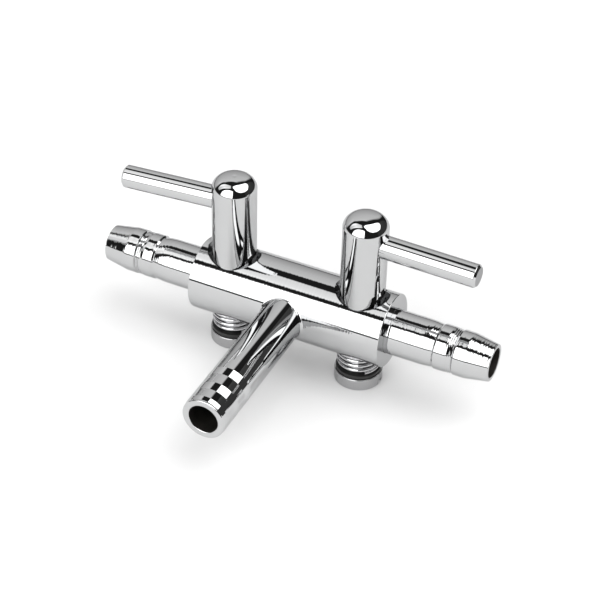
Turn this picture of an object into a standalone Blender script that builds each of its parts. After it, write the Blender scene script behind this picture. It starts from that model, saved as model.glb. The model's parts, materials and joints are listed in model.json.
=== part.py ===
"""Two-way hose manifold: a round bar with a hose barb at each end, an inlet tube at the front,
and two spring-loaded plug cocks, each turned by its own lever rod.

+Z is up along the plugs, +X runs along the bar, and the inlet points to -Y. The origin is the
middle of the bounding box at its bottom, where the two retaining screws' heads stand.
"""

from math import asin, cos, pi, radians, sin

import bmesh
import bpy
from mathutils import Matrix, Vector

MM = 0.001

# Driving dimensions. Heights are measured from the bar's own axis.
BAR_RADIUS = 5.0 * MM
BAR_HALF_LENGTH = 13.8 * MM
BORE_RADIUS = 2.0 * MM
VALVE_SPACING = 9.33 * MM
TUBE_RADIUS = 3.05 * MM
BARB_REACH = 28.0 * MM
BARB_TIP_RADIUS = 2.5 * MM
BARB_CONE_START = 24.7 * MM
# Each groove of a hose barb: where its slope starts and ends, where the tube is full again, its radius.
BARB_GROOVES = (
    (19.2 * MM, 20.4 * MM, 20.65 * MM, 2.87 * MM),
    (22.0 * MM, 22.95 * MM, 23.3 * MM, 2.83 * MM),
)
INLET_RADIUS = 2.95 * MM
INLET_REACH = 26.4 * MM
INLET_PORT_RADIUS = 1.9 * MM
INLET_PORT_FLOOR = -0.3 * MM
RING_STARTS = (19.4 * MM, 22.55 * MM, 25.4 * MM)
RING_WIDTH = 1.4 * MM
RING_DEPTH = 0.08 * MM
SOCKET_DEPTH = 1.2 * MM
INLET_SOCKET_FLOOR = 3.3 * MM

STEM_RADIUS = 3.0 * MM
STEM_TOP = 15.4 * MM
CROWN_RADIUS = 6.0 * MM
CROWN_TILT = radians(15.5)
DOME_EDGE_RADIUS = 2.0 * MM
TAPER_TOP = 3.9 * MM
TAPER_BOTTOM = -3.6 * MM
TAPER_SMALL_RADIUS = 2.7 * MM
TAIL_RADIUS = 2.2 * MM
TAIL_END = -7.0 * MM
PORT_RADIUS = 1.8 * MM
TAPPED_RADIUS = 1.3 * MM
TAPPED_TOP = -4.4 * MM
COUNTERSINK_RADIUS = 3.7 * MM

LEVER_RADIUS = 1.55 * MM
LEVER_HEIGHT = 13.05 * MM
LEVER_REACH = 15.6 * MM
LEVER_SEAT = 1.1 * MM
LEVER_CHAMFER = 0.3 * MM
LEFT_LEVER_TURN = radians(5.4)
RIGHT_LEVER_TURN = radians(-1.3)

POCKET_RADIUS = 3.4 * MM
POCKET_CEILING = -3.7 * MM
HEAD_RADIUS = 3.23 * MM
HEAD_BOTTOM = -9.4 * MM
HEAD_THICKNESS = 1.75 * MM
SLOT_WIDTH = 0.9 * MM
SLOT_DEPTH = 0.7 * MM
SHANK_RADIUS = 1.25 * MM
SHANK_TOP = -4.7 * MM
WASHER_RADIUS = 3.05 * MM
WASHER_HOLE_RADIUS = 1.5 * MM
WASHER_THICKNESS = 0.5 * MM
WIRE_RADIUS = 0.25 * MM
SPRING_TOP_RADIUS = 2.95 * MM
SPRING_BOTTOM_RADIUS = 2.62 * MM
SPRING_TURNS = 4.0
SPRING_END_ANGLE = radians(-48)

GAP = 0.05 * MM
OVERRUN = 2.0 * MM
ROUND = 32
BAR_ROUND = 48
SPRING_SIDES = 6
SPRING_STEPS_PER_TURN = 16
DOME_RINGS = 5
CROWN_RINGS = 2

# The bar's axis in the part's own frame.
AXIS_Y = (INLET_REACH - BAR_RADIUS) / 2
AXIS_Z = -HEAD_BOTTOM

ALONG_X = Matrix(((0, 0, 1), (0, 1, 0), (-1, 0, 0))).to_4x4()
ALONG_MINUS_X = Matrix(((0, 0, -1), (0, 1, 0), (1, 0, 0))).to_4x4()
ALONG_MINUS_Y = Matrix(((1, 0, 0), (0, 0, -1), (0, 1, 0))).to_4x4()


def clear_scene():
    for obj in list(bpy.data.objects):
        bpy.data.objects.remove(obj, do_unlink=True)


def material(name, color, metallic, roughness):
    made = bpy.data.materials.new(name)
    made.use_nodes = True
    shader = made.node_tree.nodes["Principled BSDF"]
    shader.inputs["Base Color"].default_value = (*color, 1.0)
    shader.inputs["Metallic"].default_value = metallic
    shader.inputs["Roughness"].default_value = roughness
    return made


def add_object(name, bm, finish=None, location=(0, 0, 0), parent=None):
    """A mesh object made from bm, shaded smooth except along its sharp edges."""
    mesh = bpy.data.meshes.new(name)
    bm.to_mesh(mesh)
    bm.free()
    mesh.shade_smooth()
    mesh.set_sharp_from_angle(angle=radians(30))
    if finish:
        mesh.materials.append(finish)
    obj = bpy.data.objects.new(name, mesh)
    bpy.context.scene.collection.objects.link(obj)
    obj.location = location
    obj.parent = parent
    return obj


def turned(outline, sides=ROUND, ring=False, turn=None):
    """A turned solid about Z from (height, radius) points. A ring's outline is a closed loop."""
    bm = bmesh.new()
    verts = [bm.verts.new((radius, 0, height)) for height, radius in outline]
    edges = [bm.edges.new(pair) for pair in zip(verts, verts[1:])]
    if ring:
        edges.append(bm.edges.new((verts[-1], verts[0])))
    bmesh.ops.spin(
        bm, geom=verts + edges, cent=(0, 0, 0), axis=(0, 0, 1), angle=2 * pi, steps=sides, use_merge=True
    )
    bmesh.ops.remove_doubles(bm, verts=bm.verts, dist=1e-7)
    bmesh.ops.recalc_face_normals(bm, faces=bm.faces)
    if turn:
        bmesh.ops.transform(bm, matrix=turn, verts=bm.verts)
    return bm


def box(low, high):
    bm = bmesh.new()
    bmesh.ops.create_cube(bm, size=1.0)
    low, high = Vector(low), Vector(high)
    bmesh.ops.scale(bm, vec=high - low, verts=bm.verts)
    bmesh.ops.translate(bm, vec=(low + high) / 2, verts=bm.verts)
    return bm


def cut(target, name, bm, location=(0, 0, 0), parent=None):
    """Cuts the shape bm out of target, with a hidden cutter that stays in the file."""
    cutter = add_object(name, bm, location=location, parent=parent)
    cutter.hide_render = True
    cutter.display_type = "WIRE"
    boolean = target.modifiers.new(name, "BOOLEAN")
    boolean.operation = "DIFFERENCE"
    boolean.solver = "EXACT"
    boolean.object = cutter


def taper_radius(height):
    """The plug's radius at a height on its taper."""
    slope = (STEM_RADIUS - TAPER_SMALL_RADIUS) / (TAPER_TOP - TAPER_BOTTOM)
    return TAPER_SMALL_RADIUS + slope * (height - TAPER_BOTTOM)


def countersink_radius(height):
    """The radius of the conical mouth around each stem; it has closed in on the stem at the taper's top."""
    slope = (COUNTERSINK_RADIUS - STEM_RADIUS - GAP) / (BAR_RADIUS - TAPER_TOP)
    return STEM_RADIUS + GAP + slope * (height - TAPER_TOP)


def manifold_bar(chrome):
    """The round bar: its bore, a socket in each end and at the front, and two tapered valve seats."""
    place = (0, AXIS_Y, AXIS_Z)
    socket_radius = TUBE_RADIUS + GAP
    socket_floor = BAR_HALF_LENGTH - SOCKET_DEPTH
    outline = [
        (-socket_floor, BORE_RADIUS),
        (-socket_floor, socket_radius),
        (-BAR_HALF_LENGTH, socket_radius),
        (-BAR_HALF_LENGTH, BAR_RADIUS),
        (BAR_HALF_LENGTH, BAR_RADIUS),
        (BAR_HALF_LENGTH, socket_radius),
        (socket_floor, socket_radius),
        (socket_floor, BORE_RADIUS),
    ]
    bar = add_object("manifold_bar", turned(outline, BAR_ROUND, ring=True, turn=ALONG_X), chrome, place)
    inlet = [
        (INLET_PORT_FLOOR, 0),
        (INLET_PORT_FLOOR, INLET_PORT_RADIUS),
        (INLET_SOCKET_FLOOR, INLET_PORT_RADIUS),
        (INLET_SOCKET_FLOOR, INLET_RADIUS + GAP),
        (BAR_RADIUS + OVERRUN, INLET_RADIUS + GAP),
        (BAR_RADIUS + OVERRUN, 0),
    ]
    cut(bar, "inlet_cutter", turned(inlet, turn=ALONG_MINUS_Y), place)
    seat = [
        (-BAR_RADIUS - OVERRUN, 0),
        (-BAR_RADIUS - OVERRUN, POCKET_RADIUS),
        (POCKET_CEILING, POCKET_RADIUS),
        (POCKET_CEILING, taper_radius(POCKET_CEILING) + GAP),
        (TAPER_TOP, STEM_RADIUS + GAP),
        (BAR_RADIUS + OVERRUN, countersink_radius(BAR_RADIUS + OVERRUN)),
        (BAR_RADIUS + OVERRUN, 0),
    ]
    for side, x in (("left", -VALVE_SPACING), ("right", VALVE_SPACING)):
        cut(bar, side + "_seat_cutter", turned(seat), (x, AXIS_Y, AXIS_Z))
    return bar


def hose_barb(name, turn, chrome):
    """A tube with two shallow grooves and a conical tip; its seat lies inside the bar's end."""
    seat = BAR_HALF_LENGTH - SOCKET_DEPTH + GAP
    outline = [(seat, BORE_RADIUS), (seat, TUBE_RADIUS)]
    for start, end, full, radius in BARB_GROOVES:
        outline += [(start, TUBE_RADIUS), (end, radius), (full, TUBE_RADIUS)]
    outline += [(BARB_CONE_START, TUBE_RADIUS), (BARB_REACH, BARB_TIP_RADIUS), (BARB_REACH, BORE_RADIUS)]
    return add_object(name, turned(outline, ring=True, turn=turn), chrome, (0, AXIS_Y, AXIS_Z))


def inlet_tube(chrome):
    """A plain tube with three shallow rings turned into its end; the last one runs out at the tip."""
    low = INLET_RADIUS - RING_DEPTH
    outline = [(INLET_SOCKET_FLOOR + GAP, BORE_RADIUS), (INLET_SOCKET_FLOOR + GAP, INLET_RADIUS)]
    for start in RING_STARTS[:-1]:
        end = start + RING_WIDTH
        outline += [(start, INLET_RADIUS), (start, low), (end, low), (end, INLET_RADIUS)]
    outline += [(RING_STARTS[-1], INLET_RADIUS), (RING_STARTS[-1], low)]
    outline += [(INLET_REACH, low), (INLET_REACH, BORE_RADIUS)]
    tube = turned(outline, ring=True, turn=ALONG_MINUS_Y)
    return add_object("inlet_tube", tube, chrome, (0, AXIS_Y, AXIS_Z))


def dome_points():
    """The flattened dome: a rounded edge that meets the stem at a crease, then a flatter crown."""
    crown_reach = CROWN_RADIUS * sin(CROWN_TILT)
    rim_tilt = asin(sin(CROWN_TILT) + (STEM_RADIUS - crown_reach) / DOME_EDGE_RADIUS)
    points = []
    for i in range(DOME_RINGS + 1):
        tilt = rim_tilt + (CROWN_TILT - rim_tilt) * i / DOME_RINGS
        height = STEM_TOP + DOME_EDGE_RADIUS * (cos(tilt) - cos(rim_tilt))
        points.append((height, crown_reach + DOME_EDGE_RADIUS * (sin(tilt) - sin(CROWN_TILT))))
    points[0] = (STEM_TOP, STEM_RADIUS)
    edge_top = points[-1][0]
    for i in range(1, CROWN_RINGS + 1):
        tilt = CROWN_TILT * (1 - i / CROWN_RINGS)
        height = edge_top + CROWN_RADIUS * (cos(tilt) - cos(CROWN_TILT))
        points.append((height, CROWN_RADIUS * sin(tilt)))
    return points


def valve_plug(side, pivot, chrome):
    """Domed stem, tapered seat and tail, with a port across the bar, a lever hole and a tapped hole."""
    outline = [
        (TAIL_END, 0),
        (TAIL_END, TAIL_RADIUS),
        (TAPER_BOTTOM, TAIL_RADIUS),
        (TAPER_BOTTOM, TAPER_SMALL_RADIUS),
        (TAPER_TOP, STEM_RADIUS),
    ]
    plug = add_object(side + "_valve_plug", turned(outline + dome_points()), chrome, parent=pivot)
    port = [(-2 * STEM_RADIUS, 0), (-2 * STEM_RADIUS, PORT_RADIUS)]
    port += [(2 * STEM_RADIUS, PORT_RADIUS), (2 * STEM_RADIUS, 0)]
    cut(plug, side + "_port_cutter", turned(port, turn=ALONG_X), parent=pivot)
    hole_radius = LEVER_RADIUS + GAP
    hole = [(LEVER_SEAT - GAP, 0), (LEVER_SEAT - GAP, hole_radius)]
    hole += [(2 * STEM_RADIUS, hole_radius), (2 * STEM_RADIUS, 0)]
    turn = ALONG_MINUS_X if side == "left" else ALONG_X
    cut(plug, side + "_lever_cutter", turned(hole, turn=turn), (0, 0, LEVER_HEIGHT), pivot)
    tapped = [(TAIL_END - OVERRUN, 0), (TAIL_END - OVERRUN, TAPPED_RADIUS)]
    tapped += [(TAPPED_TOP, TAPPED_RADIUS), (TAPPED_TOP, 0)]
    cut(plug, side + "_tapped_cutter", turned(tapped), parent=pivot)
    return plug


def lever_rod(side, pivot, chrome):
    """A plain rod with a chamfered free end, pressed into the side of the stem."""
    outline = [
        (LEVER_SEAT, 0),
        (LEVER_SEAT, LEVER_RADIUS),
        (LEVER_REACH - LEVER_CHAMFER, LEVER_RADIUS),
        (LEVER_REACH, LEVER_RADIUS - LEVER_CHAMFER),
        (LEVER_REACH, 0),
    ]
    turn = ALONG_MINUS_X if side == "left" else ALONG_X
    rod = turned(outline, turn=turn)
    return add_object(side + "_lever_rod", rod, chrome, (0, 0, LEVER_HEIGHT), pivot)


def spring(side, pivot, steel):
    """A slightly conical coil, widest in the bar's pocket, between the bar and the washer."""
    washer_top = HEAD_BOTTOM + HEAD_THICKNESS + GAP + WASHER_THICKNESS
    low = washer_top + GAP + WIRE_RADIUS
    high = POCKET_CEILING - GAP - WIRE_RADIUS
    steps = int(SPRING_TURNS * SPRING_STEPS_PER_TURN)
    bm = bmesh.new()
    rings = []
    for i in range(steps + 1):
        share = i / steps
        angle = SPRING_END_ANGLE + 2 * pi * SPRING_TURNS * share
        radius = SPRING_BOTTOM_RADIUS + (SPRING_TOP_RADIUS - SPRING_BOTTOM_RADIUS) * share
        centre = Vector((radius * cos(angle), radius * sin(angle), low + (high - low) * share))
        outwards = Vector((cos(angle), sin(angle), 0))
        ring = []
        for k in range(SPRING_SIDES):
            around = 2 * pi * k / SPRING_SIDES
            offset = outwards * cos(around) + Vector((0, 0, sin(around)))
            ring.append(bm.verts.new(centre + offset * WIRE_RADIUS))
        rings.append(ring)
    for ring, following in zip(rings, rings[1:]):
        for k in range(SPRING_SIDES):
            after = (k + 1) % SPRING_SIDES
            bm.faces.new((ring[k], ring[after], following[after], following[k]))
    bm.faces.new(rings[0])
    bm.faces.new(rings[-1])
    bmesh.ops.recalc_face_normals(bm, faces=bm.faces)
    return add_object(side + "_spring", bm, steel, parent=pivot)


def washer(side, pivot, rubber):
    low = HEAD_BOTTOM + HEAD_THICKNESS + GAP
    high = low + WASHER_THICKNESS
    outline = [
        (low, WASHER_HOLE_RADIUS),
        (low, WASHER_RADIUS),
        (high, WASHER_RADIUS),
        (high, WASHER_HOLE_RADIUS),
    ]
    return add_object(side + "_washer", turned(outline, ring=True), rubber, parent=pivot)


def screw(side, pivot, steel):
    """A slotted disc head with a plain shank that stands for the thread in the plug's tail."""
    outline = [
        (HEAD_BOTTOM, 0),
        (HEAD_BOTTOM, HEAD_RADIUS),
        (HEAD_BOTTOM + HEAD_THICKNESS, HEAD_RADIUS),
        (HEAD_BOTTOM + HEAD_THICKNESS, SHANK_RADIUS),
        (SHANK_TOP, SHANK_RADIUS),
        (SHANK_TOP, 0),
    ]
    head = add_object(side + "_screw", turned(outline), steel, parent=pivot)
    low = (-HEAD_RADIUS - OVERRUN, -SLOT_WIDTH / 2, HEAD_BOTTOM - OVERRUN)
    high = (HEAD_RADIUS + OVERRUN, SLOT_WIDTH / 2, HEAD_BOTTOM + SLOT_DEPTH)
    cut(head, side + "_slot_cutter", box(low, high), parent=pivot)
    return head


def valve(side, x, lever_turn, chrome, steel, rubber):
    """One cock: everything that turns together about the plug's own axis."""
    pivot = bpy.data.objects.new(side + "_valve_axis", None)
    bpy.context.scene.collection.objects.link(pivot)
    pivot.location = (x, AXIS_Y, AXIS_Z)
    pivot.rotation_euler = (0, 0, lever_turn)
    valve_plug(side, pivot, chrome)
    lever_rod(side, pivot, chrome)
    spring(side, pivot, steel)
    washer(side, pivot, rubber)
    screw(side, pivot, steel)


def main():
    clear_scene()
    chrome = material("chrome", (0.55, 0.553, 0.556), 1.0, 0.06)
    steel = material("spring_steel", (0.72, 0.72, 0.73), 1.0, 0.15)
    rubber = material("black_rubber", (0.015, 0.015, 0.015), 0.0, 0.45)
    manifold_bar(chrome)
    hose_barb("left_hose_barb", ALONG_MINUS_X, chrome)
    hose_barb("right_hose_barb", ALONG_X, chrome)
    inlet_tube(chrome)
    valve("left", -VALVE_SPACING, LEFT_LEVER_TURN, chrome, steel, rubber)
    valve("right", VALVE_SPACING, RIGHT_LEVER_TURN, chrome, steel, rubber)


main()
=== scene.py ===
"""Looks of the two-way hose manifold: chrome surfaces, studio and camera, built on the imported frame."""

import json
from math import acos, asin, cos, exp, hypot, pi, radians, sin, sqrt, tan

import bpy
import numpy as np
from mathutils import Matrix, Vector

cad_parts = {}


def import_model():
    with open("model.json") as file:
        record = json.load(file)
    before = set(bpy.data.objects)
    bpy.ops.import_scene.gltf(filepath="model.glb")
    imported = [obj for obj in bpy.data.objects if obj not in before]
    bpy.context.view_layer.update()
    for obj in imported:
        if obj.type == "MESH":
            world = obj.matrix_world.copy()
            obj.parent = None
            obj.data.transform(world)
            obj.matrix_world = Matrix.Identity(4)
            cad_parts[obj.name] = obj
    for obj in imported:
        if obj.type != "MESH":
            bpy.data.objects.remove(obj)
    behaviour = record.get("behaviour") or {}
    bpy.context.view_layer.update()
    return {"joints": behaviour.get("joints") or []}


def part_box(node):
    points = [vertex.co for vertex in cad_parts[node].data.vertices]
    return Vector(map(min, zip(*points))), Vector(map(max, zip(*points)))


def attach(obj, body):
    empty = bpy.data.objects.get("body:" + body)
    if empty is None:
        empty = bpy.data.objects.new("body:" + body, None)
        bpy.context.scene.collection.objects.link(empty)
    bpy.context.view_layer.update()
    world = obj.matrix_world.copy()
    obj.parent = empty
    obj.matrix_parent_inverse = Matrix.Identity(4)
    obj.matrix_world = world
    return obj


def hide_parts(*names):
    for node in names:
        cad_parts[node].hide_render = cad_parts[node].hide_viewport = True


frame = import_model()

MM = 0.001

# ---------------------------------------------------------------- sizes read from the frame
BAR_LOW, BAR_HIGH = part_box("manifold_bar")
BAR_RADIUS = (BAR_HIGH.z - BAR_LOW.z) / 2
BAR_HALF = (BAR_HIGH.x - BAR_LOW.x) / 2
AXIS = Vector((0, BAR_HIGH.y - BAR_RADIUS, BAR_HIGH.z - BAR_RADIUS))
BARB_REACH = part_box("right_hose_barb")[1].x
INLET_RADIUS = (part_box("inlet_tube")[1].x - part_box("inlet_tube")[0].x) / 2
INLET_REACH = AXIS.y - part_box("inlet_tube")[0].y
PLUG_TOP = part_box("left_valve_plug")[1].z - AXIS.z
PLUG_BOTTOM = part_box("left_valve_plug")[0].z - AXIS.z
HEAD_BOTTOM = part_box("left_screw")[0].z - AXIS.z
SHANK_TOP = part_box("left_screw")[1].z - AXIS.z
LEVER_HEIGHT = (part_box("left_lever_rod")[0].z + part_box("left_lever_rod")[1].z) / 2 - AXIS.z
LEVER_RADIUS = (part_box("left_lever_rod")[1].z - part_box("left_lever_rod")[0].z) / 2
WASHER_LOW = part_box("left_washer")[0].z - AXIS.z
WASHER_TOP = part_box("left_washer")[1].z - AXIS.z
PIVOTS = {joint["child"]: Vector(joint["pos_m"]) for joint in frame["joints"]}
OPEN_TURN = {joint["child"]: -sum(joint["range_deg"]) / 2 for joint in frame["joints"]}

# ---------------------------------------------------------------- sizes that repeat the CAD's
BORE_RADIUS = 2.0 * MM
TUBE_RADIUS = 3.05 * MM
SOCKET_FLOOR = BAR_HALF - 1.2 * MM
STEM_RADIUS = 3.0 * MM
STEM_TOP = 15.4 * MM
TAPER_TOP = 3.9 * MM
TAPER_SHOULDER = TAPER_TOP - 1 * MM
TAPER_BOTTOM = -3.6 * MM
TAPER_SMALL_RADIUS = 2.7 * MM
TAIL_RADIUS = 2.2 * MM
PORT_RADIUS = 1.8 * MM
LEVER_SEAT = 1.1 * MM
LEVER_REACH = 15.6 * MM
POCKET_RADIUS = 3.4 * MM
POCKET_CEILING = -3.7 * MM
COUNTERSINK_RADIUS = 3.7 * MM
HEAD_RADIUS = 3.23 * MM
HEAD_TOP = HEAD_BOTTOM + 1.75 * MM
SHANK_RADIUS = 1.25 * MM
WASHER_RADIUS = 3.05 * MM
WASHER_HOLE = 1.5 * MM
RING_STARTS = (19.4 * MM, 22.55 * MM, 25.4 * MM)
FIT = 0.02 * MM

# ---------------------------------------------------------------- sizes of the finer detail
# Along a hose barb, from the middle of the bar.
NECK_END = 19.2 * MM
INNER_GROOVE = 20.4 * MM
INNER_GROOVE_END = 20.65 * MM
INNER_GROOVE_RADIUS = 2.87 * MM
OUTER_GROOVE = 22.0 * MM
OUTER_GROOVE_END = 23.3 * MM
GROOVE_RINGS = (
    (22.3 * MM, 2.99 * MM),
    (22.42 * MM, 2.94 * MM),
    (22.56 * MM, 2.98 * MM),
    (22.68 * MM, 2.91 * MM),
    (22.82 * MM, 2.945 * MM),
    (22.95 * MM, 2.86 * MM),
    (23.08 * MM, 2.905 * MM),
    (23.16 * MM, 2.85 * MM),
)
CONE_START = 24.7 * MM
CONE_TIP_RADIUS = 2.5 * MM

# Along the inlet tube, from the bar's axis.
INLET_PORT_RADIUS = 1.9 * MM
INLET_PORT_START = -0.3 * MM
INLET_SEAT = 3.3 * MM
INLET_START = 3.4 * MM
INLET_FLARE_END = 6.2 * MM
FLARE_RADIUS = 0.4 * MM
FLARE_STEPS = 8
RING_TEETH = 4
TOOTH_PITCH = 0.35 * MM
TOOTH_DEPTH = 0.065 * MM

# The valves. The two cut reaches are where a plug's cutters end, well outside it, and
# SPRING_CLOSING draws the spring's end turns together.
TAPPED_RADIUS = 1.3 * MM
TAPPED_CEILING = -4.4 * MM
CUT_REACH = 5 * MM
TAIL_CUT_REACH = -9 * MM
LEVER_CHAMFER = 0.3 * MM
SPRING_TURNS = 4.0
SPRING_START = radians(-48)
SPRING_WIRE_RADIUS = 0.25 * MM
SPRING_LOW_RADIUS = 2.62 * MM
SPRING_HIGH_RADIUS = 2.95 * MM
SPRING_CLOSING = 0.035
SLOT_HALF_WIDTH = 0.45 * MM
SLOT_DEPTH = 0.7 * MM

# Segments round a turned piece.
FINE = 256
MEDIUM = 160
COARSE = 96

# The bend between a fillet's samples, and the bend and the distance that count as none.
FILLET_STEP = radians(9)
STRAIGHT = 1e-4
NOTHING = 1e-9


# ---------------------------------------------------------------- turned surfaces
def turned(arm, angle):
    return Vector((arm.x * cos(angle) - arm.y * sin(angle), arm.x * sin(angle) + arm.y * cos(angle)))


def filleted(corners, closed):
    """Samples (height, radius, normal height, normal radius) of an outline of (height, radius, fillet).

    The outline runs towards +height along the outer side, so its normal is on its left.
    A sharp corner has two samples at one place, one for each side's normal.
    """
    count = len(corners)
    points = [Vector((c[0], c[1])) for c in corners]
    fillets = [c[2] if len(c) > 2 else 0.0 for c in corners]
    samples = []
    for i in range(count):
        here = points[i]
        inner = closed or 0 < i < count - 1
        before = (here - points[i - 1]).normalized() if inner or i else None
        after = (points[(i + 1) % count] - here).normalized() if inner or i < count - 1 else None
        if before is None or after is None:
            along = after if before is None else before
            samples.append((here.x, here.y, -along.y, along.x))
            continue
        bend = acos(max(-1.0, min(1.0, before.dot(after))))
        if fillets[i] <= 0 or bend < STRAIGHT:
            samples.append((here.x, here.y, -before.y, before.x))
            samples.append((here.x, here.y, -after.y, after.x))
            continue
        run = fillets[i] * tan(bend / 2)
        start = here - before * run
        side = 1 if before.x * after.y - before.y * after.x > 0 else -1
        inward = Vector((-before.y, before.x)) * side
        centre = start + inward * fillets[i]
        steps = max(2, int(bend / FILLET_STEP) + 1)
        for k in range(steps + 1):
            turn = side * bend * k / steps
            arm = turned(-inward, turn)
            place = centre + arm * fillets[i]
            normal = -arm * side
            samples.append((place.x, place.y, normal.x, normal.y))
    if closed:
        samples.append(samples[0])
    return samples


def lathe(name, samples, segments, closed, inner=None):
    """A mesh turned about local Z with exact normals.

    inner(height, radius) tells whether a face there has the second material.
    """
    # One (vertex indices, height, radius) for each sample. Samples at one place share their vertices.
    rings = []
    verts = []
    for h, r, _, _ in samples:
        if rings and abs(h - rings[-1][1]) + abs(r - rings[-1][2]) < NOTHING:
            rings.append(rings[-1])
            continue
        if closed and rings and abs(h - rings[0][1]) + abs(r - rings[0][2]) < NOTHING:
            rings.append(rings[0])
            continue
        first = len(verts)
        if r < NOTHING:
            verts.append((0, 0, h))
            rings.append(([first] * segments, h, r))
            continue
        for k in range(segments):
            angle = 2 * pi * k / segments
            verts.append((r * cos(angle), r * sin(angle), h))
        rings.append((list(range(first, first + segments)), h, r))
    faces = []
    normals = []
    kinds = []
    for i in range(len(rings) - 1):
        low = rings[i]
        high = rings[i + 1]
        if low is high or low[0] is high[0]:
            continue
        middle = ((low[1] + high[1]) / 2, (low[2] + high[2]) / 2)
        kind = 1 if inner and inner(*middle) else 0
        for k in range(segments):
            after = (k + 1) % segments
            loop = [(low[0][k], i, k), (low[0][after], i, k + 1)]
            loop += [(high[0][after], i + 1, k + 1), (high[0][k], i + 1, k)]
            if low[2] < NOTHING:
                loop = [loop[0], loop[2], loop[3]]
            elif high[2] < NOTHING:
                loop = loop[:3]
            faces.append([v for v, _, _ in loop])
            for _, s, step in loop:
                angle = 2 * pi * step / segments
                _, _, nh, nr = samples[s]
                normals.append((nr * cos(angle), nr * sin(angle), nh))
            kinds.append(kind)
    return finish_mesh(name, verts, faces, normals, kinds)


def finish_mesh(name, verts, faces, normals, kinds=None):
    """A smooth mesh with a normal for each face corner and, if given, a material for each face."""
    mesh = bpy.data.meshes.new(name)
    mesh.from_pydata(verts, [], faces)
    mesh.polygons.foreach_set("use_smooth", [True] * len(faces))
    if kinds:
        mesh.polygons.foreach_set("material_index", kinds)
    mesh.update()
    mesh.normals_split_custom_set(normals)
    return mesh


def profile_normals(points, face_normals, samples, to_local, sign):
    """How badly a turned surface explains each point, and that surface's normal there.

    samples is the surface's outline, and sign is -1 for a cutter, whose normals point the other way.
    """
    least_agreement = 0.8
    most_gap = 0.006 * MM
    turn_cost = 0.02 * MM
    least_length = 1e-8
    local = np.c_[points, np.ones(len(points))] @ np.array(to_local).T
    rotation = np.array(to_local)[:3, :3]
    facing = face_normals @ rotation.T
    radius = np.hypot(local[:, 0], local[:, 1])
    outwards = local[:, :2] / np.maximum(radius, NOTHING)[:, None]
    best = np.full(len(points), 1.0)
    found = np.zeros((len(points), 3))
    for (h0, r0, a0, b0), (h1, r1, a1, b1) in zip(samples, samples[1:]):
        length = (h1 - h0) ** 2 + (r1 - r0) ** 2
        if length < least_length**2:
            continue
        t = ((local[:, 2] - h0) * (h1 - h0) + (radius - r0) * (r1 - r0)) / length
        t = np.clip(t, 0, 1)
        gap = np.hypot(local[:, 2] - h0 - t * (h1 - h0), radius - r0 - t * (r1 - r0))
        nh = a0 + (a1 - a0) * t
        nr = b0 + (b1 - b0) * t
        normal = np.c_[outwards * nr[:, None], nh] * sign
        normal /= np.maximum(np.linalg.norm(normal, axis=1), NOTHING)[:, None]
        agree = (normal * facing).sum(1)
        score = gap + (1 - agree) * turn_cost
        better = (agree > least_agreement) & (gap < most_gap) & (score < best)
        best[better] = score[better]
        found[better] = normal[better]
    return best, found @ rotation


def carved(name, base, surfaces, cutters, inner=None):
    """base with cutters cut out of it, and each corner's normal taken from the surface it lies on."""
    work = bpy.data.objects.new(name + "_work", base)
    bpy.context.scene.collection.objects.link(work)
    helpers = [work]
    for i, (mesh, place) in enumerate(cutters):
        helper = bpy.data.objects.new(f"{name}_cutter_{i}", mesh)
        bpy.context.scene.collection.objects.link(helper)
        helper.matrix_world = place
        helpers.append(helper)
        boolean = work.modifiers.new(f"cut_{i}", "BOOLEAN")
        boolean.operation = "DIFFERENCE"
        boolean.solver = "EXACT"
        boolean.object = helper
    bpy.context.view_layer.update()
    graph = bpy.context.evaluated_depsgraph_get()
    mesh = bpy.data.meshes.new_from_object(work.evaluated_get(graph))
    for helper in helpers:
        bpy.data.objects.remove(helper, do_unlink=True)
    mesh.name = name
    exact_normals(mesh, surfaces)
    if inner:
        kinds = [1 if inner(polygon.center) else 0 for polygon in mesh.polygons]
        mesh.polygons.foreach_set("material_index", kinds)
    return mesh


def exact_normals(mesh, surfaces):
    """Gives each face corner the normal of the surface it lies on, or its face's if it lies on none."""
    mesh.polygons.foreach_set("use_smooth", [True] * len(mesh.polygons))
    mesh.update()
    corner_vertex = np.empty(len(mesh.loops), np.int32)
    mesh.loops.foreach_get("vertex_index", corner_vertex)
    co = np.empty(len(mesh.vertices) * 3)
    mesh.vertices.foreach_get("co", co)
    points = co.reshape(-1, 3)[corner_vertex]
    face_normals = np.empty((len(mesh.loops), 3))
    for polygon in mesh.polygons:
        stop = polygon.loop_start + polygon.loop_total
        face_normals[polygon.loop_start : stop] = polygon.normal
    best = np.full(len(points), 1.0)
    normals = face_normals.copy()
    for samples, place, sign in surfaces:
        score, found = profile_normals(points, face_normals, samples, place.inverted(), sign)
        better = score < best
        best[better] = score[better]
        normals[better] = found[better]
    mesh.normals_split_custom_set(normals.tolist())


# Turns that point a turned piece's local Z along the bar, the other way along it, and out of its front.
ALONG_X = Matrix(((0, 0, 1), (0, 1, 0), (-1, 0, 0))).to_4x4()
ALONG_MINUS_X = Matrix(((0, 0, -1), (0, 1, 0), (1, 0, 0))).to_4x4()
ALONG_MINUS_Y = Matrix(((1, 0, 0), (0, 0, -1), (0, 1, 0))).to_4x4()


def place_piece(name, mesh, place, body, nodes, materials):
    """Puts a finished mesh in the scene, riding on a body in place of the CAD's nodes."""
    for made in materials:
        mesh.materials.append(made)
    piece = bpy.data.objects.new(name, mesh)
    bpy.context.scene.collection.objects.link(piece)
    piece.matrix_world = place
    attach(piece, body)
    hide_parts(*nodes)


# ---------------------------------------------------------------- materials
def new_material(name):
    made = bpy.data.materials.new(name)
    made.use_nodes = True
    nodes = made.node_tree.nodes
    return made, nodes, made.node_tree.links, nodes["Principled BSDF"]


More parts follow.
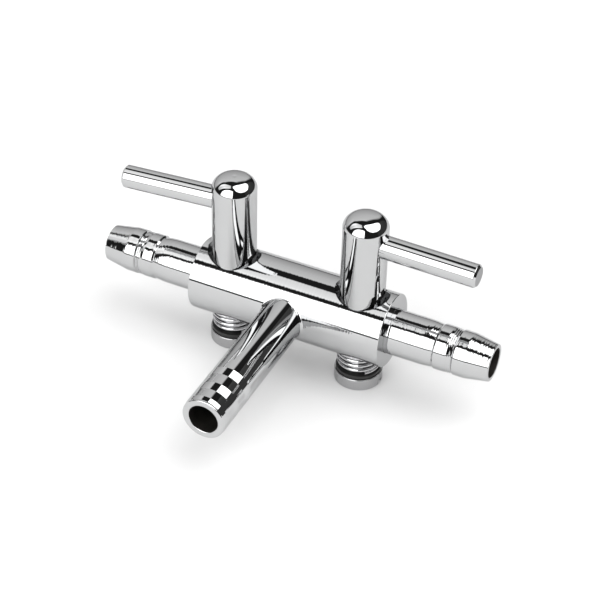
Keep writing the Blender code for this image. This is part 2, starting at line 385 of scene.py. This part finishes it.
def noise(nodes, links, place, scale, detail):
    made = nodes.new("ShaderNodeTexNoise")
    made.inputs["Scale"].default_value = scale
    made.inputs["Detail"].default_value = detail
    links.new(place, made.inputs["Vector"])
    return made.outputs["Fac"]


def blend(nodes, links, level, first, second):
    """The first colour where level is 0 and the second where it is 1."""
    made = nodes.new("ShaderNodeMix")
    made.data_type = "RGBA"
    made.inputs["A"].default_value = (*first, 1.0)
    made.inputs["B"].default_value = (*second, 1.0)
    links.new(level, made.inputs["Factor"])
    return made.outputs["Result"]


def roughen(nodes, links, level, low, high, shader):
    """Lets the shader's roughness run from low to high with level."""
    made = nodes.new("ShaderNodeMapRange")
    made.inputs["To Min"].default_value = low
    made.inputs["To Max"].default_value = high
    links.new(level, made.inputs["Value"])
    links.new(made.outputs["Result"], shader.inputs["Roughness"])


def emboss(nodes, links, height, depth, shader):
    """Raises the surface by depth where height is 1."""
    made = nodes.new("ShaderNodeBump")
    made.inputs["Strength"].default_value = 1.0
    made.inputs["Distance"].default_value = depth
    links.new(height, made.inputs["Height"])
    links.new(made.outputs["Normal"], shader.inputs["Normal"])


def turned_metal(name, colour, roughness, mark_pitch, mark_depth):
    """Metal turned about its local Z: fine tool marks round it, and a faint uneven polish."""
    grazing_tint = (0.72, 0.72, 0.725, 1.0)
    stretch = (0.06, 0.06, 1.0)
    polish_scale = 260.0
    polish_range = 0.02
    dulled = 0.94
    made, nodes, links, shader = new_material(name)
    shader.inputs["Metallic"].default_value = 1.0
    shader.inputs["Specular Tint"].default_value = grazing_tint
    place = nodes.new("ShaderNodeTexCoord").outputs["Object"]
    flatten = nodes.new("ShaderNodeVectorMath")
    flatten.operation = "MULTIPLY"
    flatten.inputs[1].default_value = stretch
    links.new(place, flatten.inputs[0])
    marks = noise(nodes, links, flatten.outputs["Vector"], 1.0 / mark_pitch, 1.0)
    emboss(nodes, links, marks, mark_depth, shader)
    polish = noise(nodes, links, place, polish_scale, 4.0)
    roughen(nodes, links, polish, max(0.0, roughness - polish_range), roughness + polish_range, shader)
    shade = blend(nodes, links, polish, colour, [c * dulled for c in colour])
    links.new(shade, shader.inputs["Base Color"])
    return made


def bore_shade_metal():
    """Unplated brass inside the bores, coloured nearly black as painted shade for the dark inside of the
    tubes.
    """
    made, nodes, links, shader = new_material("bore_brass_painted_shade")
    shader.inputs["Metallic"].default_value = 0.6
    shader.inputs["Roughness"].default_value = 0.5
    place = nodes.new("ShaderNodeTexCoord").outputs["Object"]
    shade_mottle = noise(nodes, links, place, 900.0, 2.0)
    # Both colours are nearly black: painted shade for the bores' dark inside, mottled at random.
    shade = blend(nodes, links, shade_mottle, (0.012, 0.011, 0.010), (0.035, 0.032, 0.028))
    links.new(shade, shader.inputs["Base Color"])
    return made


def washer_rubber():
    """Smooth black rubber with a fine grain."""
    made, nodes, links, shader = new_material("washer_rubber")
    shader.inputs["Base Color"].default_value = (0.012, 0.012, 0.012, 1.0)
    place = nodes.new("ShaderNodeTexCoord").outputs["Object"]
    grain = noise(nodes, links, place, 4000.0, 3.0)
    emboss(nodes, links, grain, 0.01 * MM, shader)
    roughen(nodes, links, grain, 0.32, 0.55, shader)
    return made


CHROME_COLOUR = (0.55, 0.553, 0.556)
# name, colour, roughness, pitch of the turning marks, their depth
CHROME = turned_metal("chrome_plate", CHROME_COLOUR, 0.03, 0.14 * MM, 0.0004 * MM)
BAR_CHROME = turned_metal("chrome_plate_bar", CHROME_COLOUR, 0.025, 0.24 * MM, 0.012 * MM)
BARB_CHROME = turned_metal("chrome_plate_barb", CHROME_COLOUR, 0.03, 0.26 * MM, 0.024 * MM)
CUT_CHROME = turned_metal("chrome_plate_cut", (0.36, 0.36, 0.365), 0.3, 0.1 * MM, 0.001 * MM)
SCREW_PLATE = turned_metal("screw_plate", (0.5, 0.5, 0.505), 0.16, 0.1 * MM, 0.0006 * MM)
SPRING_STEEL = turned_metal("spring_steel", (0.62, 0.62, 0.63), 0.08, 0.2 * MM, 0.0005 * MM)
# The bores' walls get nearly black metal, which is painted shade for the dark inside of the tubes.
BORE_SHADE = bore_shade_metal()
RUBBER = washer_rubber()


# ---------------------------------------------------------------- the fixed pieces
def taper_radius(height):
    """The seat's radius at this height, on the line from the taper's small end to its top."""
    slope = (STEM_RADIUS - TAPER_SMALL_RADIUS) / (TAPER_TOP - TAPER_BOTTOM)
    return TAPER_SMALL_RADIUS + slope * (height - TAPER_BOTTOM)


def manifold_bar():
    """The bar: a bore along it, a seat and a spring pocket for each valve, and three tube sockets."""
    edge = 0.12 * MM
    rim = 0.04 * MM
    skin = 0.05 * MM
    socket = TUBE_RADIUS + FIT
    outline = [
        (-SOCKET_FLOOR, BORE_RADIUS),
        (-SOCKET_FLOOR, socket),
        (-BAR_HALF, socket, rim),
        (-BAR_HALF, BAR_RADIUS, edge),
        (BAR_HALF, BAR_RADIUS, edge),
        (BAR_HALF, socket, rim),
        (SOCKET_FLOOR, socket),
        (SOCKET_FLOOR, BORE_RADIUS),
    ]
    body = filleted(outline, closed=True)
    base = lathe("bar_base", body, FINE, closed=True)
    beyond = BAR_RADIUS + 2 * MM
    mouth_slope = (COUNTERSINK_RADIUS - STEM_RADIUS) / (BAR_RADIUS - TAPER_TOP)
    seat_outline = [
        (-beyond, 0),
        (-beyond, POCKET_RADIUS),
        (POCKET_CEILING, POCKET_RADIUS),
        (POCKET_CEILING, taper_radius(POCKET_CEILING) + FIT),
        (TAPER_SHOULDER, STEM_RADIUS + FIT),
        (TAPER_TOP, STEM_RADIUS + FIT),
        (beyond, STEM_RADIUS + FIT + mouth_slope * (beyond - TAPER_TOP)),
        (beyond, 0),
    ]
    seat = filleted(seat_outline, closed=False)
    inlet_outline = [
        (INLET_PORT_START, 0),
        (INLET_PORT_START, INLET_PORT_RADIUS),
        (INLET_SEAT, INLET_PORT_RADIUS),
        (INLET_SEAT, INLET_RADIUS + FIT),
        (beyond, INLET_RADIUS + FIT),
        (beyond, 0),
    ]
    inlet = filleted(inlet_outline, closed=False)
    to_bar = ALONG_X.inverted()
    cuts = [(seat, to_bar @ Matrix.Translation(pivot - AXIS)) for pivot in PIVOTS.values()]
    cuts.append((inlet, to_bar @ ALONG_MINUS_Y))
    cutters = [
        (lathe(f"bar_cut_{i}", samples, MEDIUM, closed=False), place)
        for i, (samples, place) in enumerate(cuts)
    ]
    surfaces = [(body, Matrix(), 1)] + [(samples, place, -1) for samples, place in cuts]

    # Faces on the bore's wall get the nearly black painted-shade metal.
    def inner(centre):
        return hypot(centre.x, centre.y) < BORE_RADIUS + skin

    mesh = carved("manifold_bar_body", base, surfaces, cutters, inner)
    place = Matrix.Translation(AXIS) @ ALONG_X
    metals = [BAR_CHROME, BORE_SHADE]
    place_piece("manifold_bar_body", mesh, place, "manifold", ["manifold_bar"], metals)


def in_bore(height, radius):
    """Whether a face of a tube is on the wall of its bore, where the painted-shade metal goes."""
    skin = 0.02 * MM
    return radius < BORE_RADIUS + skin


def hose_barb(side, turn):
    """A barb with two grooves, the outer one with fine rings in it, and a long cone at its tip."""
    soft = 10.0 * MM
    crisp = 0.08 * MM
    outline = [
        (SOCKET_FLOOR + FIT, BORE_RADIUS),
        (SOCKET_FLOOR + FIT, TUBE_RADIUS),
        (NECK_END, TUBE_RADIUS, soft),
        (INNER_GROOVE, INNER_GROOVE_RADIUS, crisp),
        (INNER_GROOVE_END, TUBE_RADIUS, crisp),
        (OUTER_GROOVE, TUBE_RADIUS, 0.3 * MM),
        *GROOVE_RINGS,
        (OUTER_GROOVE_END, TUBE_RADIUS, crisp),
        (CONE_START, TUBE_RADIUS, 1.5 * MM),
        (BARB_REACH, CONE_TIP_RADIUS, crisp),
        (BARB_REACH, BORE_RADIUS, crisp),
    ]
    mesh = lathe(side + "_barb", filleted(outline, closed=True), MEDIUM, closed=True, inner=in_bore)
    place = Matrix.Translation(AXIS) @ turn
    node = side + "_hose_barb"
    metals = [BARB_CHROME, BORE_SHADE]
    place_piece(node + "_turned", mesh, place, "manifold", [node], metals)


def inlet_outline():
    """From the flare along the outside with its toothed rings, then back through the bore."""
    tip_edge = 0.15 * MM
    valley = 0.95 * TOOTH_PITCH
    outline = [(INLET_FLARE_END, INLET_RADIUS)]
    for start in RING_STARTS:
        for tooth in range(RING_TEETH):
            here = start + tooth * TOOTH_PITCH
            if here + TOOTH_PITCH > INLET_REACH:
                break
            outline.append((here, INLET_RADIUS))
            outline.append((here + valley, INLET_RADIUS - TOOTH_DEPTH))
        if here + TOOTH_PITCH <= INLET_REACH:
            outline.append((start + RING_TEETH * TOOTH_PITCH, INLET_RADIUS))
    outline += [
        (INLET_REACH, INLET_RADIUS - TOOTH_DEPTH, tip_edge),
        (INLET_REACH, BORE_RADIUS, tip_edge),
        (INLET_START, BORE_RADIUS),
        (INLET_START, INLET_RADIUS),
    ]
    return outline


def flare_column(angle):
    """Places and normals of the solder's arc from the tube to the bar, at this angle round the tube.

    The axes are those of ALONG_MINUS_Y: x is the bar's, y is up and z points out of the bar.
    """
    across = (INLET_RADIUS + FLARE_RADIUS) * cos(angle)
    up = (INLET_RADIUS + FLARE_RADIUS) * sin(angle)
    out = sqrt((BAR_RADIUS + FLARE_RADIUS) ** 2 - up**2)
    ball = Vector((across, up, out))
    on_tube = Vector((INLET_RADIUS * cos(angle), INLET_RADIUS * sin(angle), out))
    scale = BAR_RADIUS / (BAR_RADIUS + FLARE_RADIUS)
    on_bar = Vector((across, up * scale, out * scale))
    first = (on_tube - ball).normalized()
    last = (on_bar - ball).normalized()
    column = []
    for step in range(FLARE_STEPS + 1):
        arm = first.slerp(last, step / FLARE_STEPS)
        column.append((ball + arm * FLARE_RADIUS, -arm))
    return column


def inlet_tube():
    """The tube, its three rings near the tip, and the solder flare that meets the bar."""
    segments = MEDIUM
    samples = filleted(inlet_outline(), closed=False)
    tube = lathe("inlet_base", samples, segments, closed=False, inner=in_bore)
    verts = [tuple(v.co) for v in tube.vertices]
    faces = [tuple(p.vertices) for p in tube.polygons]
    kinds = [p.material_index for p in tube.polygons]
    normals = [tuple(corner.vector) for corner in tube.corner_normals]
    # The open tube starts and ends with a ring on its outside, and the flare closes it between the two.
    start_ring = list(range(segments))
    end_ring = list(range(len(verts) - segments, len(verts)))
    flare = [flare_column(2 * pi * k / segments) for k in range(segments)]
    first_flare = len(verts)
    for column in flare:
        verts += [tuple(place) for place, _ in column]
    row = FLARE_STEPS + 1
    for k in range(segments):
        after = (k + 1) % segments
        here = first_flare + k * row
        there = first_flare + after * row
        angles = [2 * pi * s / segments for s in (k, k + 1)]
        near, far = [(cos(angle), sin(angle), 0.0) for angle in angles]
        faces.append((here, there, start_ring[after], start_ring[k]))
        normals += [near, far, far, near]
        for step in range(FLARE_STEPS):
            faces.append((here + step + 1, there + step + 1, there + step, here + step))
            normals += [
                tuple(flare[k][step + 1][1]),
                tuple(flare[after][step + 1][1]),
                tuple(flare[after][step][1]),
                tuple(flare[k][step][1]),
            ]
        faces.append((end_ring[k], end_ring[after], there + FLARE_STEPS, here + FLARE_STEPS))
        normals += [near, far, far, near]
    kinds += [0] * (len(faces) - len(kinds))
    mesh = finish_mesh("inlet_tube_flared", verts, faces, normals, kinds)
    place = Matrix.Translation(AXIS) @ ALONG_MINUS_Y
    metals = [CHROME, BORE_SHADE]
    place_piece("inlet_tube_flared", mesh, place, "manifold", ["inlet_tube"], metals)


# ---------------------------------------------------------------- the pieces that turn
def dome_samples(dimple):
    """The dome from the stem's rim to its top: a rounded edge, then a much flatter crown."""
    crown_tilt = radians(15.5)
    crown = 6.0 * MM
    edge = 2.0 * MM
    crown_reach = crown * sin(crown_tilt)
    rim_tilt = asin(sin(crown_tilt) + (STEM_RADIUS - crown_reach) / edge)
    joint = PLUG_TOP - crown * (1 - cos(crown_tilt))
    steps = 24
    samples = []
    for i in range(steps + 1):
        tilt = rim_tilt + (crown_tilt - rim_tilt) * i / steps
        h = joint - edge * (cos(crown_tilt) - cos(tilt))
        samples.append((h, crown_reach + edge * (sin(tilt) - sin(crown_tilt)), cos(tilt), sin(tilt)))
    for i in range(1, steps + 1):
        tilt = crown_tilt * (1 - i / steps)
        samples.append((PLUG_TOP - crown * (1 - cos(tilt)), crown * sin(tilt), cos(tilt), sin(tilt)))
    if dimple:
        samples = [dimpled(s) for s in samples]
    return samples


def dimpled(sample):
    """The sample moved for the lathe centre's mark, a shallow bell-shaped hollow at the dome's top."""
    h, r, nh, nr = sample
    width = 0.24 * MM
    depth = 0.05 * MM
    bell = depth * exp(-((r / width) ** 2))
    slope = 2 * r / width**2 * bell
    normal = Vector((nh, nr - slope * nh)).normalized()
    return (h - bell, r, normal.x, normal.y)


def side_turn(side):
    """The turn that points a piece's local Z along the bar, away from its middle."""
    return ALONG_MINUS_X if side == "left" else ALONG_X


def valve_plug(side, body, place):
    """A domed stem and tapered plug, with a cross port, a blind hole for the lever and a tapped tail."""
    rim = 0.1 * MM
    crisp = 0.05 * MM
    outline = [
        (PLUG_BOTTOM, 0),
        (PLUG_BOTTOM, TAIL_RADIUS, rim),
        (TAPER_BOTTOM, TAIL_RADIUS, crisp),
        (TAPER_BOTTOM, TAPER_SMALL_RADIUS, crisp),
        (TAPER_SHOULDER, STEM_RADIUS),
        (STEM_TOP, STEM_RADIUS),
    ]
    samples = filleted(outline, closed=False) + dome_samples(dimple=side == "left")
    base = lathe(side + "_plug_base", samples, FINE, closed=False)
    seat = LEVER_SEAT - FIT
    lever_place = Matrix.Translation((0, 0, LEVER_HEIGHT)) @ side_turn(side)
    cuts = []
    for low, high, radius, at in (
        (-CUT_REACH, CUT_REACH, PORT_RADIUS, ALONG_X),
        (seat, CUT_REACH, LEVER_RADIUS + FIT, lever_place),
        (TAIL_CUT_REACH, TAPPED_CEILING, TAPPED_RADIUS, Matrix()),
    ):
        rod = [(low, 0), (low, radius), (high, radius), (high, 0)]
        cuts.append((filleted(rod, closed=False), at))
    cutters = [
        (lathe(f"{side}_plug_cut_{i}", found, COARSE, closed=False), at)
        for i, (found, at) in enumerate(cuts)
    ]
    surfaces = [(samples, Matrix(), 1)] + [(found, at, -1) for found, at in cuts]
    mesh = carved(side + "_valve_plug_domed", base, surfaces, cutters)
    node = side + "_valve_plug"
    place_piece(node + "_domed", mesh, place, body, [node], [CHROME])


def lever_rod(side, body, place):
    """A plain rod with a chamfered end, whose sawn face is duller than the rest."""
    outline = [
        (LEVER_SEAT, 0),
        (LEVER_SEAT, LEVER_RADIUS, 0.1 * MM),
        (LEVER_REACH - LEVER_CHAMFER, LEVER_RADIUS, 0.12 * MM),
        (LEVER_REACH, LEVER_RADIUS - LEVER_CHAMFER, 0.1 * MM),
        (LEVER_REACH, 0),
    ]
    end = LEVER_REACH - 0.02 * MM
    samples = filleted(outline, closed=False)
    mesh = lathe(side + "_lever", samples, MEDIUM, closed=False, inner=lambda h, r: h > end)
    seat = place @ Matrix.Translation((0, 0, LEVER_HEIGHT)) @ side_turn(side)
    node = side + "_lever_rod"
    place_piece(node + "_turned", mesh, seat, body, [node], [CHROME, CUT_CHROME])


def coil_point(turned_by):
    """A point of the spring's centre line, this many turns from its lower end."""
    wire = SPRING_WIRE_RADIUS
    low = WASHER_TOP + wire
    high = POCKET_CEILING - wire
    share = turned_by / SPRING_TURNS
    rise = share - SPRING_CLOSING * sin(2 * pi * share)
    radius = SPRING_LOW_RADIUS + (SPRING_HIGH_RADIUS - SPRING_LOW_RADIUS) * share
    angle = SPRING_START + 2 * pi * turned_by
    return Vector((radius * cos(angle), radius * sin(angle), low + (high - low) * rise))


def spring(side, body, place):
    """Round wire wound right-handed, slightly conical, with closed end turns and cut ends."""
    steps_per_turn = 72
    around = 20
    nudge = 1e-3
    steps = int(SPRING_TURNS * steps_per_turn)
    verts = []
    arms = []
    tangents = []
    for i in range(steps + 1):
        at = i / steps_per_turn
        centre = coil_point(at)
        ahead = (coil_point(at + nudge) - coil_point(at - nudge)).normalized()
        radial = Vector((centre.x, centre.y, 0)).normalized()
        sideways = ahead.cross(radial).normalized()
        radial = sideways.cross(ahead)
        angles = [2 * pi * k / around for k in range(around)]
        ring = [radial * cos(angle) + sideways * sin(angle) for angle in angles]
        verts += [tuple(centre + arm * SPRING_WIRE_RADIUS) for arm in ring]
        arms.append([tuple(arm) for arm in ring])
        tangents.append(ahead)
    faces = []
    normals = []
    for i in range(steps):
        for k in range(around):
            after = (k + 1) % around
            a = i * around + k
            b = i * around + after
            faces.append((a, b, b + around, a + around))
            normals += [arms[i][k], arms[i][after], arms[i + 1][after], arms[i + 1][k]]
    last = steps * around
    faces.append(tuple(range(around - 1, -1, -1)))
    normals += [tuple(-tangents[0])] * around
    faces.append(tuple(range(last, last + around)))
    normals += [tuple(tangents[-1])] * around
    mesh = finish_mesh(side + "_coil", verts, faces, normals)
    node = side + "_spring"
    place_piece(node + "_coil", mesh, place, body, [node], [SPRING_STEEL])


def washer(side, body, place):
    """A rubber ring between the spring and the screw's head."""
    edge = 0.08 * MM
    outline = [
        (WASHER_LOW, WASHER_HOLE, edge),
        (WASHER_LOW, WASHER_RADIUS, edge),
        (WASHER_TOP, WASHER_RADIUS, edge),
        (WASHER_TOP, WASHER_HOLE, edge),
    ]
    mesh = lathe(side + "_ring", filleted(outline, closed=True), MEDIUM, closed=True)
    node = side + "_washer"
    place_piece(node + "_ring", mesh, place, body, [node], [RUBBER])


def screw(side, body, place):
    """A screw with a flat disc head, slotted from below."""
    outline = [
        (HEAD_BOTTOM, 0),
        (HEAD_BOTTOM, HEAD_RADIUS, 0.15 * MM),
        (HEAD_TOP, HEAD_RADIUS, 0.12 * MM),
        (HEAD_TOP, SHANK_RADIUS, 0.1 * MM),
        (SHANK_TOP, SHANK_RADIUS, 0.3 * MM),
        (SHANK_TOP, 0),
    ]
    samples = filleted(outline, closed=False)
    base = lathe(side + "_screw_base", samples, MEDIUM, closed=False)
    across = SLOT_HALF_WIDTH
    along = HEAD_RADIUS + 1 * MM
    heights = (HEAD_BOTTOM - 1 * MM, HEAD_BOTTOM + SLOT_DEPTH)
    corners = [(x, y, z) for z in heights for y in (-across, across) for x in (-along, along)]
    sides = [(0, 2, 3, 1), (4, 5, 7, 6), (0, 1, 5, 4), (2, 6, 7, 3), (0, 4, 6, 2), (1, 3, 7, 5)]
    slot = bpy.data.meshes.new(side + "_slot")
    slot.from_pydata(corners, [], sides)
    mesh = carved(side + "_screw_slotted", base, [(samples, Matrix(), 1)], [(slot, Matrix())])
    node = side + "_screw"
    place_piece(node + "_slotted", mesh, place, body, [node], [SCREW_PLATE])


def valve(side):
    """All that turns on one side, at its rest angle."""
    body = side + "_valve"
    place = Matrix.Translation(PIVOTS[body]) @ Matrix.Rotation(radians(OPEN_TURN[body]), 4, "Z")
    valve_plug(side, body, place)
    lever_rod(side, body, place)
    spring(side, body, place)
    washer(side, body, place)
    screw(side, body, place)


# ---------------------------------------------------------------- studio
# The camera looks at the middle of the bar from this direction and distance.
VIEW_AZIMUTH = radians(24.93)
VIEW_ELEVATION = radians(38.46)
VIEW_ROLL = radians(1.518)
VIEW_DISTANCE = 240 * MM
VIEW_LENS = 108.44
VIEW_SHIFT = (0.0051, 0.0006)


def view_axes():
    """The camera's right, up and back directions."""
    back = Vector(
        (
            sin(VIEW_AZIMUTH) * cos(VIEW_ELEVATION),
            -cos(VIEW_AZIMUTH) * cos(VIEW_ELEVATION),
            sin(VIEW_ELEVATION),
        )
    )
    level = Vector((cos(VIEW_AZIMUTH), sin(VIEW_AZIMUTH), 0))
    rise = back.cross(level)
    right = level * cos(VIEW_ROLL) + rise * sin(VIEW_ROLL)
    return right, back.cross(right), back


def camera():
    """The photograph's viewing angle."""
    right, up, back = view_axes()
    data = bpy.data.cameras.new("camera")
    data.sensor_width = 36.0
    data.lens = VIEW_LENS
    data.shift_x, data.shift_y = VIEW_SHIFT
    data.clip_start = 10 * MM
    obj = bpy.data.objects.new("camera", data)
    bpy.context.scene.collection.objects.link(obj)
    turn = Matrix((right, up, back)).transposed().to_4x4()
    obj.matrix_world = Matrix.Translation(AXIS + back * VIEW_DISTANCE) @ turn
    bpy.context.scene.camera = obj


def towards(azimuth, elevation):
    """A direction from the object: azimuth 0 is the camera's side, 90 is to its right."""
    angle = radians(azimuth) + VIEW_AZIMUTH - pi / 2
    rise = radians(elevation)
    return Vector((cos(angle) * cos(rise), sin(angle) * cos(rise), sin(rise)))


def glow(name, strength):
    """Plain light, as bright as the sheet's own glow at each place times strength."""
    made = bpy.data.materials.new(name)
    made.use_nodes = True
    nodes = made.node_tree.nodes
    links = made.node_tree.links
    nodes.clear()
    level = nodes.new("ShaderNodeAttribute")
    level.attribute_name = "glow"
    scaled = nodes.new("ShaderNodeMath")
    scaled.operation = "MULTIPLY"
    scaled.inputs[1].default_value = strength
    links.new(level.outputs["Fac"], scaled.inputs[0])
    light = nodes.new("ShaderNodeEmission")
    links.new(scaled.outputs["Value"], light.inputs["Strength"])
    out = nodes.new("ShaderNodeOutputMaterial")
    links.new(light.outputs["Emission"], out.inputs["Surface"])
    return made


def window(name, corners, strength, feather, distance=0.8):
    """A bright sheet that the object sees between these (azimuth, elevation, brightness) corners.

    Its brightness falls to nothing over the outer share of it that feather gives.
    """
    rings = 12
    edge = [towards(*corner[:2]) for corner in corners]
    bright = [corner[2] if len(corner) > 2 else 1.0 for corner in corners]
    middle = sum(edge, Vector()).normalized()
    average = sum(bright) / len(bright)
    verts = [middle * distance]
    glow_at = [average]
    faces = []
    count = len(edge)
    for ring in range(1, rings + 1):
        share = ring / rings
        fade = min(1.0, (1.0 - share) / feather)
        for direction, level in zip(edge, bright):
            verts.append(middle.slerp(direction, share) * distance)
            glow_at.append((average + (level - average) * share) * fade)
    for k in range(count):
        after = (k + 1) % count
        faces.append((0, 1 + k, 1 + after))
        for ring in range(rings - 1):
            a = 1 + ring * count + k
            b = 1 + ring * count + after
            faces.append((a, a + count, b + count, b))
    mesh = bpy.data.meshes.new(name)
    mesh.from_pydata([tuple(AXIS + Vector(v)) for v in verts], [], faces)
    mesh.attributes.new("glow", "FLOAT", "POINT").data.foreach_set("value", glow_at)
    mesh.materials.append(glow(name, strength))
    obj = bpy.data.objects.new(name, mesh)
    bpy.context.scene.collection.objects.link(obj)
    obj.visible_camera = False


def floor():
    """A large pale table under the object."""
    reach = 3.0
    mesh = bpy.data.meshes.new("floor")
    corners = [(-reach, -reach, 0), (reach, -reach, 0), (reach, reach, 0), (-reach, reach, 0)]
    mesh.from_pydata(corners, [], [(0, 1, 2, 3)])
    made = bpy.data.materials.new("pale_floor")
    made.use_nodes = True
    shader = made.node_tree.nodes["Principled BSDF"]
    shader.inputs["Base Color"].default_value = (0.7, 0.7, 0.7, 1.0)
    shader.inputs["Roughness"].default_value = 0.9
    shader.inputs["Specular IOR Level"].default_value = 0.1
    mesh.materials.append(made)
    obj = bpy.data.objects.new("floor", mesh)
    bpy.context.scene.collection.objects.link(obj)


def background(nodes, level):
    made = nodes.new("ShaderNodeBackground")
    made.inputs["Color"].default_value = (level, level, level, 1.0)
    return made.outputs["Background"]


def choose(nodes, links, question, no, yes):
    """One light or the other, by the answer to a Light Path question."""
    made = nodes.new("ShaderNodeMixShader")
    links.new(question, made.inputs["Fac"])
    links.new(no, made.inputs[1])
    links.new(yes, made.inputs[2])
    return made.outputs["Shader"]


def world():
    """A room that metal reflects as nearly black, and that is pale where the camera looks past the floor.

    It also fills matt surfaces with a soft white light.
    """
    made = bpy.data.worlds.new("studio")
    bpy.context.scene.world = made
    made.use_nodes = True
    nodes = made.node_tree.nodes
    links = made.node_tree.links
    output = nodes["World Output"]
    nodes.remove(nodes["Background"])
    path = nodes.new("ShaderNodeLightPath")
    dark = background(nodes, 0.02)
    fill = background(nodes, 1.0)
    pale = background(nodes, 0.95)
    reflected = choose(nodes, links, path.outputs["Is Diffuse Ray"], dark, fill)
    seen = choose(nodes, links, path.outputs["Is Camera Ray"], reflected, pale)
    links.new(seen, output.inputs["Surface"])


# The sheets' corners: (azimuth, elevation) in degrees from the object, and a brightness where it varies.
BACKDROP = [
    (156, 1, 0.5),
    (150, 15, 0.65),
    (149, 30, 0.85),
    (152, 42, 0.9),
    (163, 54, 0.95),
    (174, 60, 1.0),
    (-173, 58, 1.0),
    (-157, 54, 1.0),
    (-142, 50, 1.0),
    (-128, 45, 1.05),
    (-116, 36, 1.05),
    (-108, 25, 0.95),
    (-106, 12, 0.75),
    (-106, 1, 0.6),
    (-140, 1, 0.55),
    (180, 1, 0.5),
]
RIGHT_WINDOW = [
    (2, 70),
    (6, 62),
    (16, 55),
    (24, 48),
    (38, 40),
    (60, 34),
    (84, 33),
    (98, 38),
    (112, 41),
    (125, 45),
    (135, 49),
    (143, 55),
    (148, 62),
    (155, 68),
    (170, 73),
    (-175, 78),
    (-120, 83),
    (-60, 83),
    (-25, 79),
    (-6, 75),
]
LEFT_UPPER_WINDOW = [
    (-48, 75, 0.7),
    (-57, 69, 0.75),
    (-68, 62, 0.9),
    (-79, 50, 1.1),
    (-83, 36, 0.9),
    (-84, 20, 0.4),
    (-97, 22, 0.4),
    (-105, 35, 0.9),
    (-114, 44, 1.1),
    (-126, 54, 1.1),
    (-134, 60, 0.9),
    (-137, 68, 0.7),
    (-140, 75, 0.6),
    (-130, 78, 0.6),
    (-100, 79, 0.65),
    (-65, 78, 0.65),
]
LEFT_WINDOW = [
    (-67, 4),
    (-68, 25),
    (-67, 40),
    (-62, 50),
    (-52, 57),
    (-38, 60),
    (-20, 60),
    (-9, 56),
    (-7, 40),
    (-7, 20),
    (-7, 4),
    (-37, 3),
]
RIGHT_WALL = [
    (55, 30, 0.7),
    (80, 31, 0.8),
    (98, 36, 1.0),
    (112, 39, 1.2),
    (125, 43, 1.8),
    (138, 44, 1.2),
    (140, 30, 0.9),
    (138, 1, 0.7),
    (110, 1, 0.9),
    (80, 1, 0.9),
    (55, 1, 0.7),
]


def studio():
    """The table, the room and its five bright sheets."""
    floor()
    world()
    window("backdrop_sheet", BACKDROP, 1.02, feather=0.14)
    window("right_window", RIGHT_WINDOW, 3.5, feather=0.04)
    window("left_upper_window", LEFT_UPPER_WINDOW, 1.9, feather=0.1)
    window("left_window", LEFT_WINDOW, 3.5, feather=0.04)
    window("right_wall", RIGHT_WALL, 0.065, feather=0.05, distance=0.86)
    bpy.context.scene.view_settings.view_transform = "Standard"


manifold_bar()
hose_barb("left", ALONG_MINUS_X)
hose_barb("right", ALONG_X)
inlet_tube()
valve("left")
valve("right")
studio()
camera()
